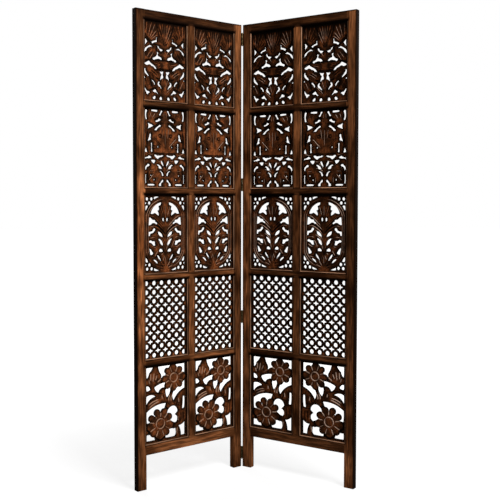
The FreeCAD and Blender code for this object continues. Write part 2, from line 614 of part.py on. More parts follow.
def main():
    os.makedirs("parts", exist_ok=True)
    frame = leaf_frame()
    designs = [("leaf_spray", insert(leaf_spray_cuts())), ("palmette", insert(palmette_cuts())),
               ("oval_plant", insert(oval_plant_cuts())), ("star_lattice", insert(star_lattice_cuts())),
               ("daisy", insert(daisy_cuts(1)))]
    facing_daisy = insert(daisy_cuts(-1))
    insert_y = (leaf_thickness - insert_thickness) / 2
    for side, side_name in ((-1, "left"), (1, "right")):
        for name, member in frame.items():
            write(f"{side_name}_{name}", stand(member if side > 0 else mirrored(member), side))
        for row, (design, board) in enumerate(designs):
            for column, column_name in enumerate(("inner", "outer")):
                left, sill, right, _ = opening_corners(column, row)
                turned = design == "daisy" and side > 0 and column_name == "outer"
                piece = (facing_daisy if turned else board).copy()
                piece.translate(point(side * (left + right) / 2, sill, insert_y))
                write(f"{side_name}_{design}_{column_name}", stand(piece, side))
        knuckles = range(1, knuckle_count, 2) if side > 0 else range(0, knuckle_count, 2)
        screws = []
        for number, level in enumerate(hinge_levels(), 1):
            plate = hinge_plate(level, knuckles)
            write(f"{side_name}_hinge_plate_{number}", stand(plate if side > 0 else mirrored(plate), side))
            screws += [screw(place) for place in screw_places(level)]
            if side < 0:
                write(f"hinge_pin_{number}", stand(mirrored(hinge_pin(level)), side))
        group = Part.makeCompound(screws)
        write(f"{side_name}_hinge_screws", stand(group if side > 0 else mirrored(group), side))


main()
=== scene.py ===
"""Dresses a two-leaf folding screen: stained frames, carved inserts, brass hinges, and a plain studio."""
import bpy
import json
import math
import numpy as np
from mathutils import Matrix, Vector, geometry, kdtree


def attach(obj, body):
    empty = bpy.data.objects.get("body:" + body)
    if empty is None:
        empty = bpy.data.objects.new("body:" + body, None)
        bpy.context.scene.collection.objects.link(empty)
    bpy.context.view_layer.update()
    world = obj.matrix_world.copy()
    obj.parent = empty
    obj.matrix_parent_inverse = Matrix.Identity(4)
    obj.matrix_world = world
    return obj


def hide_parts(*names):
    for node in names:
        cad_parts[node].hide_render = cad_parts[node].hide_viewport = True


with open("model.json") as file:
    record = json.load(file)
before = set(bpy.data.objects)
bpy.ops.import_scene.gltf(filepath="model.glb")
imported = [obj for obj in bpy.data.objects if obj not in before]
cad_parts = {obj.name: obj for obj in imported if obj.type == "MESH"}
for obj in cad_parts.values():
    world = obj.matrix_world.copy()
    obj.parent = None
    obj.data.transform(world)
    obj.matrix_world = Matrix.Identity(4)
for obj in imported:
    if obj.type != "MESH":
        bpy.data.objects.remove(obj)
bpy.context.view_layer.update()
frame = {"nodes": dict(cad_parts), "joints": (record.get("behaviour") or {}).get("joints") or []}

# Two leaves
# The screen is a pair of framed wooden leaves that stand in a V on one line of hinge pins. Each leaf is
# worked flat on the bench, in metres, X to the right, Y back from the pins and Z up, and its matrix stands it
# in the room.
fold_joint = frame["joints"][0]
pin_place = Vector(fold_joint["pos_m"])
fold_angle = math.radians((180 + fold_joint["range_deg"][0]) / 2)
leaf_sides = {"left": -1, "right": 1}
leaf_turns = {name: -side * fold_angle for name, side in leaf_sides.items()}
leaf_matrices = {name: Matrix.Translation(pin_place) @ Matrix.Rotation(turn, 4, "Z")
                 for name, turn in leaf_turns.items()}
leaf_width = 0.508
leaf_height = 1.829
leaf_thickness = 0.025
pin_setback = 0.0013
pin_stand = 0.0026
leaf_middle = pin_setback + leaf_width / 2

# Frame members
# Stiles, rails and muntins are sawn hardwood, tenoned together, with a moulded edge round every opening. They
# are stained dark walnut and rubbed back, so the middles are warm brown and the stain stays in the edges.
# Shade is painted by widening the dark edge under each opening's head, and highlight by painting the moulded
# edges light except under the heads.
stile_width = 0.040
muntin_width = 0.040
top_rail_height = 0.037
middle_rail_height = 0.030
bottom_rail_height = 0.042
leg_height = 0.133
row_count = 5
opening_width = (leaf_width - 2 * stile_width - muntin_width) / 2
rails_height = top_rail_height + bottom_rail_height + (row_count - 1) * middle_rail_height
opening_height = (leaf_height - leg_height - rails_height) / row_count
row_pitch = opening_height + middle_rail_height
lowest_sill = leg_height + bottom_rail_height
moulding_size = 0.004
side_stain = 0.0085
head_stain_and_shade = 0.015
hair = 0.0001
deep_stain_and_shade = (0.006, 0.0022, 0.0008, 1)
frame_brown = (0.073, 0.0225, 0.0066, 1)
rubbed_brown = (0.29, 0.102, 0.035, 1)
rubbed_and_lit_moulding = (0.50, 0.26, 0.15, 1)
figure_strength = 0.64
streak_strength = 0.58
noise_low = 0.35
noise_high = 0.65
grain_depth = 0.0006
frame_bump = 0.25
pore_height = 0.5
wood_gloss = 0.015
frame_roughness = 0.42
streak_roughness = 0.12

# Each stop doubles a member's tone. They are given at the floor, half way up and at the top, and paint the
# light and shade along each member.
member_light_stops = {"left_outer_stile": (-0.2, 2.5, -1.4), "left_hinge_stile": (0.7, -0.5, 0.6),
                "left_muntin": (0.2, 1.05, -0.9), "left_rail": (1.0, 0.6, -1.7),
                "right_outer_stile": (1.7, -0.9, 0.75), "right_hinge_stile": (0.5, 1.9, -0.8),
                "right_muntin": (0.2, 0.35, 1.1), "right_rail": (0.1, -0.5, -1.0)}


def add(tree, kind, values=(), **settings):
    """Put a node in a tree. Each input, by name or number, gets a value or is linked to a socket."""
    made = tree.nodes.new(kind)
    for name, value in settings.items():
        setattr(made, name, value)
    for name, value in dict(values).items():
        if isinstance(value, bpy.types.NodeSocket):
            tree.links.new(value, made.inputs[name])
        else:
            made.inputs[name].default_value = value
    return made


def calculate(tree, operation, *values):
    """The result of a Math node."""
    return add(tree, "ShaderNodeMath", enumerate(values), operation=operation).outputs[0]


def ramp(tree, value, low, high):
    """0 below low, 1 above high and a smooth rise between."""
    made = add(tree, "ShaderNodeMapRange", {"Value": value, "From Min": low, "From Max": high},
               interpolation_type="SMOOTHSTEP")
    return made.outputs["Result"]


def blend_colours(tree, share, first, second, mode="MIX"):
    """The first colour at share 0 and the second, or the two put together, at share 1."""
    made = add(tree, "ShaderNodeMix", {"Factor": share}, data_type="RGBA", blend_type=mode)
    for socket, value in ((made.inputs[6], first), (made.inputs[7], second)):
        if isinstance(value, bpy.types.NodeSocket):
            tree.links.new(value, socket)
        else:
            socket.default_value = value
    return made.outputs[2]


def new_group(name, inputs, outputs):
    """An empty node group with named sockets, and its two end nodes."""
    group = bpy.data.node_groups.new(name, "ShaderNodeTree")
    for label, kind in inputs:
        group.interface.new_socket(label, in_out="INPUT", socket_type=kind)
    for label, kind in outputs:
        group.interface.new_socket(label, in_out="OUTPUT", socket_type=kind)
    return group, group.nodes.new("NodeGroupInput"), group.nodes.new("NodeGroupOutput")


def noise(tree, place, scale, detail, stretch=(1, 1, 1)):
    """Noise in a vector's space, drawn out along the axes with a small stretch."""
    scaled = add(tree, "ShaderNodeMapping", {"Vector": place, "Scale": stretch})
    made = add(tree, "ShaderNodeTexNoise", {"Vector": scaled.outputs[0], "Scale": scale, "Detail": detail})
    return made.outputs["Fac"]


def wood_grain_group():
    """Grain of a sawn board along Z: broad figure, streaks, fine pores and slow blotches of stain.

    Each layer has its scale, its detail and its stretch along the grain.
    """
    layers = {"Figure": (150.0, 5.0, 0.09), "Streak": (330.0, 5.0, 0.045), "Pore": (900.0, 2.0, 0.035),
              "Blotch": (11.0, 3.0, 0.55)}
    group, start, end = new_group("wood_grain", [("Place", "NodeSocketVector")],
                                  [(label, "NodeSocketFloat") for label in layers])
    for label, (scale, detail, along) in layers.items():
        value = noise(group, start.outputs["Place"], scale, detail, (1, 1, along))
        group.links.new(ramp(group, value, noise_low, noise_high), end.inputs[label])
    return group


def wear_and_painted_light_group():
    """Masks for a flat leaf, counted from its middle: the members' rubbed middles with painted shade under
    each opening's head, and their moulded edges painted light as highlight except under the heads.
    """
    group, start, end = new_group("wear_and_painted_light", [("Place", "NodeSocketVector")],
                                  [("Middle", "NodeSocketFloat"), ("Lit_moulding", "NodeSocketFloat")])
    place = add(group, "ShaderNodeSeparateXYZ", {0: start.outputs["Place"]}).outputs
    across = calculate(group, "ABSOLUTE", place["X"])
    past_column = calculate(group, "SUBTRACT", across, (muntin_width + opening_width) / 2)
    beside = calculate(group, "SUBTRACT", calculate(group, "ABSOLUTE", past_column), opening_width / 2)
    rows_up = calculate(group, "SUBTRACT", place["Z"], lowest_sill - middle_rail_height / 2)
    above_floor = calculate(group, "MAXIMUM", rows_up, 0.0)
    in_rows = calculate(group, "MINIMUM", above_floor, row_count * row_pitch - hair)
    in_row = calculate(group, "FLOORED_MODULO", in_rows, row_pitch)
    from_middle = calculate(group, "SUBTRACT", in_row, row_pitch / 2)
    above = calculate(group, "SUBTRACT", calculate(group, "ABSOLUTE", from_middle), opening_height / 2)
    to_opening = calculate(group, "MAXIMUM", beside, above)
    # Under each opening's head the dark band reaches further into the rail, as painted shade.
    head = ramp(group, from_middle, opening_height / 2 - moulding_size, opening_height / 2)
    stain_and_shade_end = calculate(group, "MULTIPLY_ADD", head, head_stain_and_shade - side_stain, side_stain)
    to_side = calculate(group, "SUBTRACT", leaf_width / 2, across)
    to_top = calculate(group, "SUBTRACT", leaf_height, place["Z"])
    to_edge = calculate(group, "MINIMUM", to_side, to_top)
    middle = calculate(group, "MULTIPLY", ramp(group, to_opening, moulding_size, stain_and_shade_end),
                       ramp(group, to_edge, 0.0, side_stain))
    group.links.new(middle, end.inputs["Middle"])
    # The moulded edges are painted light as highlight, except under the heads, where they face down and are
    # left dark as painted shade.
    line = calculate(group, "MULTIPLY", ramp(group, to_opening, moulding_size, 0.75 * moulding_size),
                     ramp(group, to_opening, 0.0, 0.25 * moulding_size))
    below_head = calculate(group, "SUBTRACT", 1.0, head)
    group.links.new(calculate(group, "MULTIPLY", line, below_head), end.inputs["Lit_moulding"])
    return group


def leaf_place(tree, leaf):
    """Object coordinates turned back to a flat leaf, counted from its middle."""
    coordinates = add(tree, "ShaderNodeTexCoord").outputs["Object"]
    middle = leaf_matrices[leaf] @ Vector((leaf_sides[leaf] * leaf_middle, 0, 0))
    turn = (0, 0, leaf_turns[leaf])
    flat = add(tree, "ShaderNodeMapping", {"Vector": coordinates, "Location": middle, "Rotation": turn},
               vector_type="TEXTURE")
    return flat.outputs[0]


wood_grain = wood_grain_group()
wear_and_painted_light = wear_and_painted_light_group()


def stained_wood(name, leaf, upright, stops):
    """Dark-stained, rubbed wood of one leaf, its grain along the member and its tone changing upwards as
    painted light and shade.
    """
    material = bpy.data.materials.new(name)
    material.use_nodes = True
    tree = material.node_tree
    shader = tree.nodes["Principled BSDF"]
    place = leaf_place(tree, leaf)
    along = place
    if not upright:
        along = add(tree, "ShaderNodeMapping", {"Vector": place, "Rotation": (0, math.pi / 2, 0)}).outputs[0]
    grain = add(tree, "ShaderNodeGroup", node_tree=wood_grain)
    tree.links.new(along, grain.inputs["Place"])
    rubbed_and_lit = add(tree, "ShaderNodeGroup", node_tree=wear_and_painted_light)
    tree.links.new(place, rubbed_and_lit.inputs["Place"])
    brown = blend_colours(tree, grain.outputs["Blotch"], frame_brown, rubbed_brown)
    level = add(tree, "ShaderNodeSeparateXYZ", {0: place}).outputs["Z"]
    floor_stop, half_way_stop, top_stop = stops
    half_way = leaf_height / 2
    lower = add(tree, "ShaderNodeMapRange", {"Value": level, "From Max": half_way, "To Min": floor_stop,
                                             "To Max": half_way_stop}).outputs["Result"]
    upper = add(tree, "ShaderNodeMapRange", {"Value": level, "From Min": half_way, "From Max": leaf_height,
                                             "To Max": top_stop - half_way_stop}).outputs["Result"]
    # The member's tone is painted lighter or darker with height, as light and shade.
    tone = calculate(tree, "POWER", 2.0, calculate(tree, "ADD", lower, upper))
    toned = blend_colours(tree, 1.0, brown, tone, "MULTIPLY")
    flat = blend_colours(tree, rubbed_and_lit.outputs["Middle"], deep_stain_and_shade, toned)
    edged = blend_colours(tree, rubbed_and_lit.outputs["Lit_moulding"], flat, rubbed_and_lit_moulding)
    figure = calculate(tree, "MULTIPLY", grain.outputs["Figure"], figure_strength)
    streaks = calculate(tree, "MULTIPLY", grain.outputs["Streak"], streak_strength)
    figured = blend_colours(tree, figure, edged, deep_stain_and_shade)
    streaked = blend_colours(tree, streaks, figured, deep_stain_and_shade)
    tree.links.new(streaked, shader.inputs["Base Color"])
    shader.inputs["Specular IOR Level"].default_value = wood_gloss
    roughness = calculate(tree, "MULTIPLY_ADD", grain.outputs["Streak"], streak_roughness, frame_roughness)
    tree.links.new(roughness, shader.inputs["Roughness"])
    height = calculate(tree, "MULTIPLY_ADD", grain.outputs["Pore"], pore_height, grain.outputs["Streak"])
    bump = add(tree, "ShaderNodeBump", {"Strength": frame_bump, "Distance": grain_depth, "Height": height})
    tree.links.new(bump.outputs[0], shader.inputs["Normal"])
    return material


for kind, stops in member_light_stops.items():
    leaf, piece = kind.split("_", 1)
    wood = stained_wood(f"{kind}_wood", leaf, piece != "rail", stops)
    for name, member in frame["nodes"].items():
        if name.startswith(leaf) and piece in name:
            member.material_slots[0].material = wood

# Carved inserts
# Ten thin boards in each leaf slide into grooves round the openings. They are pierced with a fretsaw, then
# the leaves, flowers and ovals are carved on both faces with gouges, stained, and rubbed on the high lines.
# Shade is painted dark in the cuts, round the holes and beside the frame, and highlight is painted on the
# high lines.
insert_thickness = 0.008
insert_depth = (leaf_thickness - insert_thickness) / 2
saw_step = 0.0018
stroke_step = 0.0022
net_step = 0.0030
edge_row = 0.0014
ring_points = 33
edge_round = 0.0060
deepest_cut = 0.0030
dark_depth = 0.0016
open_face = 0.010
side_shade = 0.006
tiny = 1e-9
tiny_square = 1e-12
merge_gap = 1e-7
crease_angle = math.radians(40)

# Half the width of each tool's cut, and its depth. A ridge stands between two cuts.
cut_shapes = {"ground": (0.0048, 0.0026), "gouge": (0.0038, 0.0018), "groove": (0.0022, 0.0018),
              "hollow": (0.0090, 0.0006), "ridge": (0.0044, 0.0016), "bold": (0.0060, 0.0016)}

# Half the width between the two cuts of a ridge, and half the width of its rubbed top.
ridge_shapes = {"ridge": (0.0022, 0.0013), "bold": (0.0030, 0.0021)}

# How far to each side of a stroke's middle its mesh has a row of points.
row_offsets = {"ground": (-0.0048, -0.0024, 0, 0.0024, 0.0048), "gouge": (-0.0038, 0, 0.0038),
               "groove": (-0.0022, 0, 0.0022), "hollow": (-0.0090, -0.0045, 0, 0.0045, 0.0090),
               "ridge": (-0.0044, -0.0022, -0.0012, 0, 0.0012, 0.0022, 0.0044),
               "bold": (-0.0060, -0.0030, -0.0020, 0, 0.0020, 0.0030, 0.0060)}


def insert_outlines(node_name, leaf, sill_middle):
    """Rings of points round the front face of a pierced board, its own edge first and then its holes."""
    mesh = frame["nodes"][node_name].data
    to_board = (leaf_matrices[leaf] @ Matrix.Translation(sill_middle)).inverted()
    flat = [to_board @ vertex.co for vertex in mesh.vertices]
    keys = [(round(place.x, 6), round(place.z, 6)) for place in flat]
    face_y = min(place.y for place in flat)
    edges = set()
    for polygon in mesh.polygons:
        corners = polygon.vertices
        if all(flat[corner].y < face_y + insert_thickness / 4 for corner in corners):
            ring = [keys[corner] for corner in corners]
            edges.update(zip(ring, ring[1:] + ring[:1]))
    following = {here: there for here, there in edges if (there, here) not in edges}
    rings = []
    while following:
        start, here = following.popitem()
        ring = [start]
        while here != start:
            ring.append(here)
            here = following.pop(here)
        rings.append(np.array(ring))
    return sorted(rings, key=lambda ring: -np.ptp(ring))


def evenly(ring, step):
    """A ring with its long sides divided."""
    points = []
    for here, there in zip(ring, np.roll(ring, -1, axis=0)):
        count = max(1, math.ceil(np.linalg.norm(there - here) / step))
        points += [here + (there - here) * part / count for part in range(count)]
    return np.array(points)


def placed(share):
    """A share of an opening, across from its middle and up from its sill, in metres."""
    return np.array((share[0] * opening_width, share[1] * opening_height))


def curve(shares):
    """A smooth line through a few places."""
    points = [placed(share) for share in shares]
    if len(points) == 2:
        points.insert(1, (points[0] + points[1]) / 2)
    padded = [2 * points[0] - points[1]] + points + [2 * points[-1] - points[-2]]
    line = []
    for before, here, there, after in zip(padded, padded[1:], padded[2:], padded[3:]):
        count = max(2, math.ceil(np.linalg.norm(there - here) / stroke_step))
        for part in np.arange(count) / count:
            line.append(0.5 * (2 * here + (there - before) * part
                               + (2 * before - 5 * here + 4 * there - after) * part ** 2
                               + (3 * here - before - 3 * there + after) * part ** 3))
    return np.array(line + [points[-1]])


def strokes_of(kind, line_shares):
    """One tool's strokes along several lines."""
    return [(kind, curve(line)) for line in line_shares]


def ribbed(first_shares, last_shares, ribs):
    """A leaf's ribs: the grooves that part them, spread from one side of the leaf to the other."""
    parts = np.linspace(0, 1, ribs + 1)
    return strokes_of("groove", [np.array(first_shares) * (1 - part) + np.array(last_shares) * part
                                 for part in parts])


def ring_stroke(kind, middle_share, radius):
    """A stroke all round a place."""
    turns = np.linspace(0, 2 * math.pi, ring_points)
    return [(kind, placed(middle_share) + radius * np.stack([np.cos(turns), np.sin(turns)], axis=1))]


def mirrored(strokes):
    """Strokes with left and right changed over."""
    return [(kind, line * (-1, 1)) for kind, line in strokes]


def both(strokes):
    """Strokes of the right half, and their twins on the left."""
    return strokes + mirrored(strokes)


def leaf_spray_strokes():
    """Ribbed leaves that fan out from a stem, with the ground cut away between them."""
    top_leaf_shares = (
        [(0.03, 0.70), (0.09, 0.81), (0.19, 0.965)], [(-0.03, 0.70), (-0.09, 0.81), (-0.19, 0.965)])
    top_leaf_ribs = 10
    midrib_shares = [(0.0, 0.72), (0.0, 0.84), (0.0, 0.965)]
    leaf_shares = [
        ([(0.335, 0.762), (0.26, 0.80), (0.165, 0.84)], [(0.40, 0.785), (0.44, 0.875), (0.48, 0.975)], 10),
        ([(0.244, 0.615), (0.335, 0.515)], [(0.385, 0.645), (0.465, 0.55)], 6),
        ([(0.06, 0.475), (0.20, 0.50), (0.28, 0.497)], [(0.07, 0.43), (0.14, 0.405), (0.175, 0.402)], 4),
        ([(0.385, 0.36), (0.25, 0.275)], [(0.24, 0.40), (0.125, 0.345)], 6),
        ([(0.465, 0.25), (0.405, 0.165)], [(0.36, 0.275), (0.30, 0.18)], 4)]
    ridge_shares = [
        [(0.018, 0.76), (0.038, 0.86), (0.058, 0.97)], [(0.027, 0.77), (0.07, 0.86), (0.12, 0.965)],
        [(0.034, 0.735), (0.09, 0.81), (0.16, 0.91)], [(0.366, 0.775), (0.31, 0.85), (0.235, 0.96)],
        [(0.345, 0.77), (0.28, 0.82), (0.205, 0.88)], [(0.32, 0.765), (0.25, 0.80), (0.175, 0.835)],
        [(0.385, 0.785), (0.36, 0.875), (0.315, 0.97)], [(0.41, 0.80), (0.425, 0.88), (0.425, 0.97)],
        [(0.26, 0.615), (0.365, 0.515)], [(0.32, 0.635), (0.425, 0.535)],
        [(0.373, 0.375), (0.28, 0.345), (0.197, 0.305)], [(0.30, 0.39), (0.17, 0.33)],
        [(0.44, 0.275), (0.365, 0.172)], [(0.12, 0.455), (0.25, 0.475)],
        [(0.012, 0.57), (0.09, 0.64), (0.165, 0.70)], [(0.01, 0.09), (0.10, 0.145), (0.19, 0.20)],
        [(0.005, 0.15), (0.065, 0.275)]]
    ground_shares = [
        [(0.10, 0.695), (0.20, 0.70), (0.34, 0.725), (0.46, 0.825)], [(0.205, 0.69), (0.205, 0.62)],
        [(0.215, 0.975), (0.17, 0.90), (0.125, 0.80)], [(0.235, 0.565), (0.32, 0.513), (0.47, 0.49)],
        [(0.36, 0.295), (0.325, 0.23), (0.30, 0.165)], [(0.02, 0.64), (0.105, 0.60)],
        [(0.30, 0.512), (0.15, 0.51), (0.0, 0.517)], [(0.0, 0.392), (0.10, 0.398), (0.19, 0.385)],
        [(0.21, 0.285), (0.13, 0.265)], [(0.20, 0.165), (0.32, 0.135), (0.36, 0.12)]]
    middle = ribbed(*top_leaf_shares, top_leaf_ribs) + strokes_of("ridge", [midrib_shares])
    right = []
    for first_shares, last_shares, ribs in leaf_shares:
        right += ribbed(first_shares, last_shares, ribs)
    right += strokes_of("ridge", ridge_shares)
    right += strokes_of("ground", ground_shares)
    return middle + both(right)


def palmette_strokes():
    """A flower on a block, over a fan of leaves, with fine raised lines and dished corners."""
    midrib_shares = [(0.0, 0.50), (0.0, 0.62), (0.0, 0.76)]
    ridge_shares = [
        [(0.30, 0.875), (0.24, 0.935)], [(0.365, 0.88), (0.335, 0.945)], [(0.028, 0.885), (0.028, 0.95)],
        [(0.055, 0.60), (0.068, 0.68), (0.088, 0.755)], [(0.075, 0.50), (0.17, 0.565), (0.27, 0.63)],
        [(0.27, 0.42), (0.35, 0.416), (0.445, 0.436)], [(0.06, 0.35), (0.13, 0.328), (0.20, 0.335)],
        [(0.02, 0.235), (0.05, 0.27), (0.12, 0.31)], [(0.012, 0.20), (0.07, 0.224), (0.19, 0.25)],
        [(0.262, 0.175), (0.385, 0.085)], [(0.265, 0.205), (0.37, 0.205)], [(0.20, 0.14), (0.20, 0.055)]]
    eye_share = (0.127, 0.655)
    eye_radius = 0.0055
    gouge_shares = [
        [(0.24, 0.525), (0.30, 0.527)], [(0.24, 0.49), (0.29, 0.49)],
        [(0.0, 0.428), (0.13, 0.430), (0.27, 0.432)]]
    hollow_shares = [[(0.24, 0.925), (0.33, 0.915)], [(0.31, 0.21), (0.32, 0.14), (0.29, 0.075)]]
    ground_shares = [
        [(0.05, 0.893), (0.14, 0.887), (0.25, 0.855)], [(0.06, 0.815), (0.15, 0.812), (0.26, 0.755)],
        [(0.42, 0.70), (0.435, 0.62), (0.43, 0.53)], [(0.41, 0.20), (0.41, 0.12), (0.36, 0.055)]]
    right = strokes_of("ridge", ridge_shares)
    right += ring_stroke("gouge", eye_share, eye_radius)
    right += strokes_of("gouge", gouge_shares)
    right += strokes_of("hollow", hollow_shares)
    right += strokes_of("ground", ground_shares)
    return strokes_of("ridge", [midrib_shares]) + both(right)


def oval_plant_strokes():
    """A plant with a flower and paired leaves, in a long oval with a raised line along each of its edges."""
    oval_middle_share = 0.502
    straight_share = 0.205
    oval_shares = ((0.402, 0.405), (0.445, 0.445))
    oval_points = 60
    midrib_shares = [[(0.0, 0.71), (0.0, 0.79), (0.0, 0.865)], [(0.0, 0.09), (0.0, 0.20)]]
    leaf_ridge_shares = [
        [(0.05, 0.585), (0.145, 0.646), (0.27, 0.715), (0.35, 0.73)],
        [(0.02, 0.535), (0.14, 0.605), (0.25, 0.662)],
        [(0.01, 0.47), (0.12, 0.545), (0.26, 0.597), (0.38, 0.585)],
        [(0.015, 0.40), (0.11, 0.497), (0.20, 0.545)], [(0.01, 0.335), (0.10, 0.445), (0.20, 0.487)],
        [(0.21, 0.435), (0.27, 0.455), (0.36, 0.445)], [(0.18, 0.285), (0.25, 0.215)],
        [(0.20, 0.335), (0.27, 0.325), (0.36, 0.36)], [(0.06, 0.245), (0.10, 0.225)],
        [(0.02, 0.22), (0.06, 0.15)], [(0.24, 0.185), (0.33, 0.20)],
        [(0.012, 0.275), (0.055, 0.36), (0.10, 0.40)], [(0.14, 0.31), (0.19, 0.385), (0.23, 0.41)]]
    ground_shares = [
        [(0.22, 0.61), (0.12, 0.575), (0.02, 0.50)], [(0.16, 0.245), (0.22, 0.20), (0.30, 0.19)]]
    groove_shares = [
        [(0.05, 0.567), (0.15, 0.627), (0.27, 0.697)], [(0.02, 0.512), (0.14, 0.582), (0.25, 0.638)],
        [(0.01, 0.447), (0.12, 0.522), (0.26, 0.574)], [(0.03, 0.715), (0.055, 0.79), (0.075, 0.85)],
        [(0.06, 0.73), (0.10, 0.80), (0.12, 0.84)], [(0.02, 0.08), (0.07, 0.16)],
        [(0.05, 0.065), (0.14, 0.115)], [(0.06, 0.045), (0.20, 0.07)], [(0.012, 0.26), (0.02, 0.17)]]
    tip_ridge_shares = [
        [(0.035, 0.07), (0.105, 0.14)], [(0.055, 0.055), (0.17, 0.092)],
        [(0.045, 0.725), (0.078, 0.795), (0.10, 0.85)]]
    turns = np.linspace(-math.pi / 2, math.pi / 2, oval_points)
    right = []
    for across_share, up_share in oval_shares:
        lift = np.where(turns > 0, straight_share, -straight_share) + oval_middle_share
        rise = (up_share - straight_share) * np.sin(turns) + lift
        right += strokes_of("ridge", [np.stack([across_share * np.cos(turns), rise], axis=1)])
    right += strokes_of("ridge", leaf_ridge_shares)
    right += strokes_of("ground", ground_shares)
    right += strokes_of("groove", groove_shares)
    right += strokes_of("ridge", tip_ridge_shares)
    return strokes_of("ridge", midrib_shares) + both(right)


# The place of each daisy's middle, its radius, its number of petals and the turn of the first.
daisy_shares = [((0.19, 0.807), 0.054, 8, 0.0), ((-0.135, 0.227), 0.061, 9, math.radians(-12))]
petal_radius_share = 0.235
disc_radius_share = 0.32
line_reach_shares = (0.40, 0.55, 0.72, 0.88)
notch_reach_shares = (0.90, 0.98, 1.05)
rim_gap = 0.004
rim_half_turn = 1.4
rim_points = 9
rim_turns = np.linspace(-rim_half_turn, rim_half_turn, rim_points)


def petal_strokes(middle_share, radius, turn, half_turn):
    """Round one petal: the raised line beside it, the notch past that line and the ground past its rim."""

    def toward(reach, angle):
        return reach * np.array((math.cos(angle), math.sin(angle)))

    middle = placed(middle_share)
    petal = middle + toward(radius * (1 - petal_radius_share), turn)
    rim_reach = petal_radius_share * radius + rim_gap
    line = [middle + toward(radius * share, turn + half_turn) for share in line_reach_shares]
    notch = [middle + toward(radius * share, turn + half_turn) for share in notch_reach_shares]
    rim = [petal + toward(rim_reach, angle) for angle in rim_turns + turn]
    return [("bold", np.array(line)), ("ground", np.array(notch)), ("ground", np.array(rim))]


def daisy_strokes():
    """Two daisies, a bud and long leaves, with bold raised lines."""
    bold_shares = [
        [(-0.365, 0.80), (-0.36, 0.90)], [(-0.315, 0.78), (-0.28, 0.905)], [(-0.255, 0.80), (-0.21, 0.87)],
        [(-0.385, 0.765), (-0.41, 0.825)], [(-0.21, 0.77), (-0.11, 0.82)],
        [(-0.42, 0.45), (-0.30, 0.495), (-0.16, 0.525)], [(-0.43, 0.49), (-0.31, 0.528), (-0.18, 0.55)],
        [(-0.10, 0.60), (-0.09, 0.55)], [(0.10, 0.59), (0.072, 0.555), (0.065, 0.51)],
        [(0.155, 0.585), (0.125, 0.55), (0.12, 0.505)], [(0.30, 0.535), (0.315, 0.47)],
        [(0.285, 0.29), (0.295, 0.225)], [(0.275, 0.145), (0.255, 0.055)]]
    groove_shares = [
        [(-0.42, 0.52), (-0.30, 0.555), (-0.16, 0.565)], [(-0.08, 0.62), (-0.03, 0.53)],
        [(0.03, 0.56), (0.03, 0.50), (0.09, 0.45)], [(0.18, 0.475), (0.25, 0.44), (0.36, 0.42)],
        [(0.36, 0.56), (0.365, 0.47), (0.35, 0.38)], [(0.41, 0.58), (0.41, 0.48), (0.40, 0.36)],
        [(0.35, 0.34), (0.36, 0.26), (0.33, 0.17)], [(0.42, 0.33), (0.42, 0.25), (0.40, 0.19)],
        [(0.27, 0.40), (0.33, 0.36), (0.42, 0.36)]]
    gouge_shares = [
        [(-0.37, 0.80), (-0.385, 0.88)], [(-0.22, 0.80), (-0.21, 0.88)],
        [(-0.10, 0.62), (-0.28, 0.64), (-0.46, 0.655)], [(0.25, 0.59), (0.28, 0.50), (0.24, 0.44)]]
    strokes = strokes_of("bold", bold_shares)
    strokes += strokes_of("groove", groove_shares)
    strokes += strokes_of("gouge", gouge_shares)
    for middle_share, radius, petals, first_turn in daisy_shares:
        strokes += ring_stroke("bold", middle_share, disc_radius_share * radius)
        for number in range(petals):
            turn = first_turn + 2 * math.pi * number / petals
            strokes += petal_strokes(middle_share, radius, turn, math.pi / petals)
    return strokes


def along_stroke(points, stroke):
    """Each point's distance from a stroke, its place along it, from 0 to 1, and the stroke's lean there."""
    starts = stroke[:-1]
    runs = stroke[1:] - starts
    lengths = np.maximum((runs ** 2).sum(axis=1), tiny_square)
    parts = np.clip(((points[:, None] - starts) * runs).sum(axis=2) / lengths, 0, 1)
    gaps = np.linalg.norm(points[:, None] - starts - parts[..., None] * runs, axis=2)
    nearest = gaps.argmin(axis=1)
    rows = np.arange(len(points))
    leans = 2 * runs[:, 0] * runs[:, 1] / lengths
    return gaps[rows, nearest], (nearest + parts[rows, nearest]) / len(runs), leans[nearest]


def edge_gaps(points, rings):
    """Each point's distance from the nearest sawn edge."""
    tree = kdtree.KDTree(sum(len(ring) for ring in rings))
    corners = []
    for ring in rings:
        for here, before, there in zip(ring, np.roll(ring, 1, axis=0), np.roll(ring, -1, axis=0)):
            tree.insert((*here, 0), len(corners))
            corners.append((before, here, there))
    tree.balance()
    corners = np.array(corners)[[tree.find((*point, 0))[1] for point in points]]
    gaps = []
    for start, end in ((0, 1), (1, 2)):
        run = corners[:, end] - corners[:, start]
        past_start = points - corners[:, start]
        part = (past_start * run).sum(axis=1) / np.maximum((run ** 2).sum(axis=1), tiny_square)
        gaps.append(np.linalg.norm(past_start - np.clip(part, 0, 1)[:, None] * run, axis=1))
    return np.minimum(*gaps)


# A ridge rises and falls over shares of its length, and a plain cut is a little blunt at both ends.
ridge_start_share = 0.25
ridge_end_share = 0.12
blunt_share = 0.06
cut_steepness = 1.4
top_softness = 1.5

# An upright or level line gets part of the wear and painted highlight, and its lean adds painted highlight to
# that or takes it away.
upright_wear_and_highlight = 0.62
lean_highlight = 0.38

# The share of an open face's tone at the end of the rim of painted shade round a hole, and that tone itself.
rim_tone = 0.72
open_tone = 0.5


